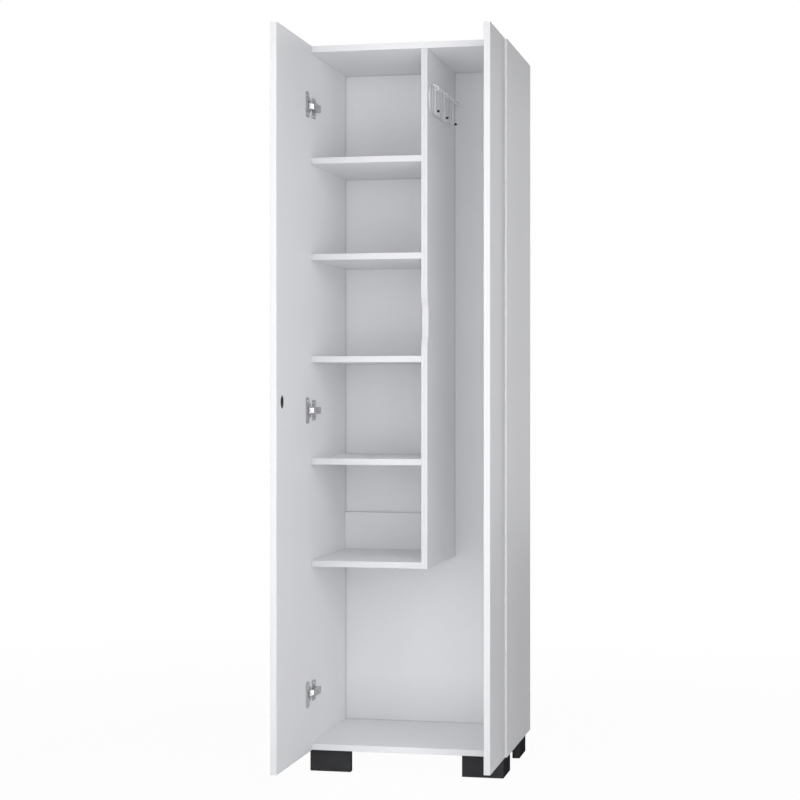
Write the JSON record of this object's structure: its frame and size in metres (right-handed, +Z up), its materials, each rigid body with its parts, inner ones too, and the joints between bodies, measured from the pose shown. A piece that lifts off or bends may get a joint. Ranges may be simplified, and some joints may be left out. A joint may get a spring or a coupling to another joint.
{
  "type": "broom cupboard",
  "caption": "Tall white broom cupboard with shelves beside a tall bay, a hook rack, two doors on concealed hinges and black feet.",
  "frame": {"origin": "on the floor, under the middle of the box round the cupboard with its doors open", "axes": "+Z up, +X to the viewer's right, +Y from the open front towards the back"},
  "size_m": [0.5, 0.6658, 1.7655],
  "materials": {
    "white_board": "white melamine-coated chipboard, satin, finely grained",
    "white_back": "white-lacquered hardboard, satin",
    "black_plastic": "black moulded plastic, fine matte grain",
    "hinge_metal": "nickel-plated pressed steel",
    "white_wire": "white plastic-coated steel wire, smooth"
  },
  "bodies": {
    "carcass": {"left_side": "white_board", "right_side": "white_board", "bottom_board": "white_board", "top_board": "white_board", "divider": "white_board", "shelf_1": "white_board", "shelf_2": "white_board", "shelf_3": "white_board", "shelf_4": "white_board", "shelf_5": "white_board", "rear_rail": "white_board", "back_panel": "white_back", "front_left_foot": "black_plastic", "front_right_foot": "black_plastic", "rear_left_foot": "black_plastic", "rear_right_foot": "black_plastic", "rack_frame": "white_wire", "rack_hook_1": "white_wire", "rack_hook_2": "white_wire", "rack_hook_3": "white_wire", "hook_tip_1": "black_plastic", "hook_tip_2": "black_plastic", "hook_tip_3": "black_plastic", "left_low_hinge_arm": "hinge_metal", "left_middle_hinge_arm": "hinge_metal", "left_top_hinge_arm": "hinge_metal", "left_low_hinge_plate": "hinge_metal", "left_middle_hinge_plate": "hinge_metal", "left_top_hinge_plate": "hinge_metal", "right_low_hinge_arm": "hinge_metal", "right_middle_hinge_arm": "hinge_metal", "right_top_hinge_arm": "hinge_metal", "right_low_hinge_plate": "hinge_metal", "right_middle_hinge_plate": "hinge_metal", "right_top_hinge_plate": "hinge_metal"},
    "left_outer_links": {"left_low_hinge_outer_link": "hinge_metal", "left_middle_hinge_outer_link": "hinge_metal", "left_top_hinge_outer_link": "hinge_metal"},
    "left_inner_links": {"left_low_hinge_inner_link": "hinge_metal", "left_middle_hinge_inner_link": "hinge_metal", "left_top_hinge_inner_link": "hinge_metal"},
    "left_door": {"left_door": "white_board", "left_low_hinge_cup": "hinge_metal", "left_middle_hinge_cup": "hinge_metal", "left_top_hinge_cup": "hinge_metal", "finger_pull": "black_plastic"},
    "right_outer_links": {"right_low_hinge_outer_link": "hinge_metal", "right_middle_hinge_outer_link": "hinge_metal", "right_top_hinge_outer_link": "hinge_metal"},
    "right_inner_links": {"right_low_hinge_inner_link": "hinge_metal", "right_middle_hinge_inner_link": "hinge_metal", "right_top_hinge_inner_link": "hinge_metal"},
    "right_door": {"right_door": "white_board", "right_low_hinge_cup": "hinge_metal", "right_middle_hinge_cup": "hinge_metal", "right_top_hinge_cup": "hinge_metal"}
  },
  "joints": [
    {"name": "left_outer_link_pivot", "type": "hinge", "parent": "carcass", "child": "left_outer_links", "pos_m": [-0.22344, -0.04344, 0.88025], "axis": [0, 0, 1], "range_deg": [-35.6, 2.1]},
    {"name": "left_inner_link_pivot", "type": "hinge", "parent": "carcass", "child": "left_inner_links", "pos_m": [-0.22201, -0.03566, 0.88025], "axis": [0, 0, 1], "range_deg": [-46.8, 2.7]},
    {"name": "left_door_swing", "type": "hinge", "parent": "left_outer_links", "child": "left_door", "pos_m": [-0.23594, -0.04995, 0.88025], "axis": [0, 0, 1], "range_deg": [-6.97, 125.46]},
    {"name": "right_outer_link_pivot", "type": "hinge", "parent": "carcass", "child": "right_outer_links", "pos_m": [0.22344, -0.04344, 0.88025], "axis": [0, 0, -1], "range_deg": [-35.6, 2.1]},
    {"name": "right_inner_link_pivot", "type": "hinge", "parent": "carcass", "child": "right_inner_links", "pos_m": [0.22201, -0.03566, 0.88025], "axis": [0, 0, -1], "range_deg": [-46.8, 2.7]},
    {"name": "right_door_swing", "type": "hinge", "parent": "right_outer_links", "child": "right_door", "pos_m": [0.23594, -0.04995, 0.88025], "axis": [0, 0, -1], "range_deg": [-6.97, 125.46]}
  ],
  "couplings": [
    {"joint": "left_outer_link_pivot", "follows": "left_door_swing", "ratio": -0.28263},
    {"joint": "left_inner_link_pivot", "follows": "left_door_swing", "ratio": -0.37138},
    {"joint": "right_outer_link_pivot", "follows": "right_door_swing", "ratio": -0.28263},
    {"joint": "right_inner_link_pivot", "follows": "right_door_swing", "ratio": -0.37138}
  ]
}
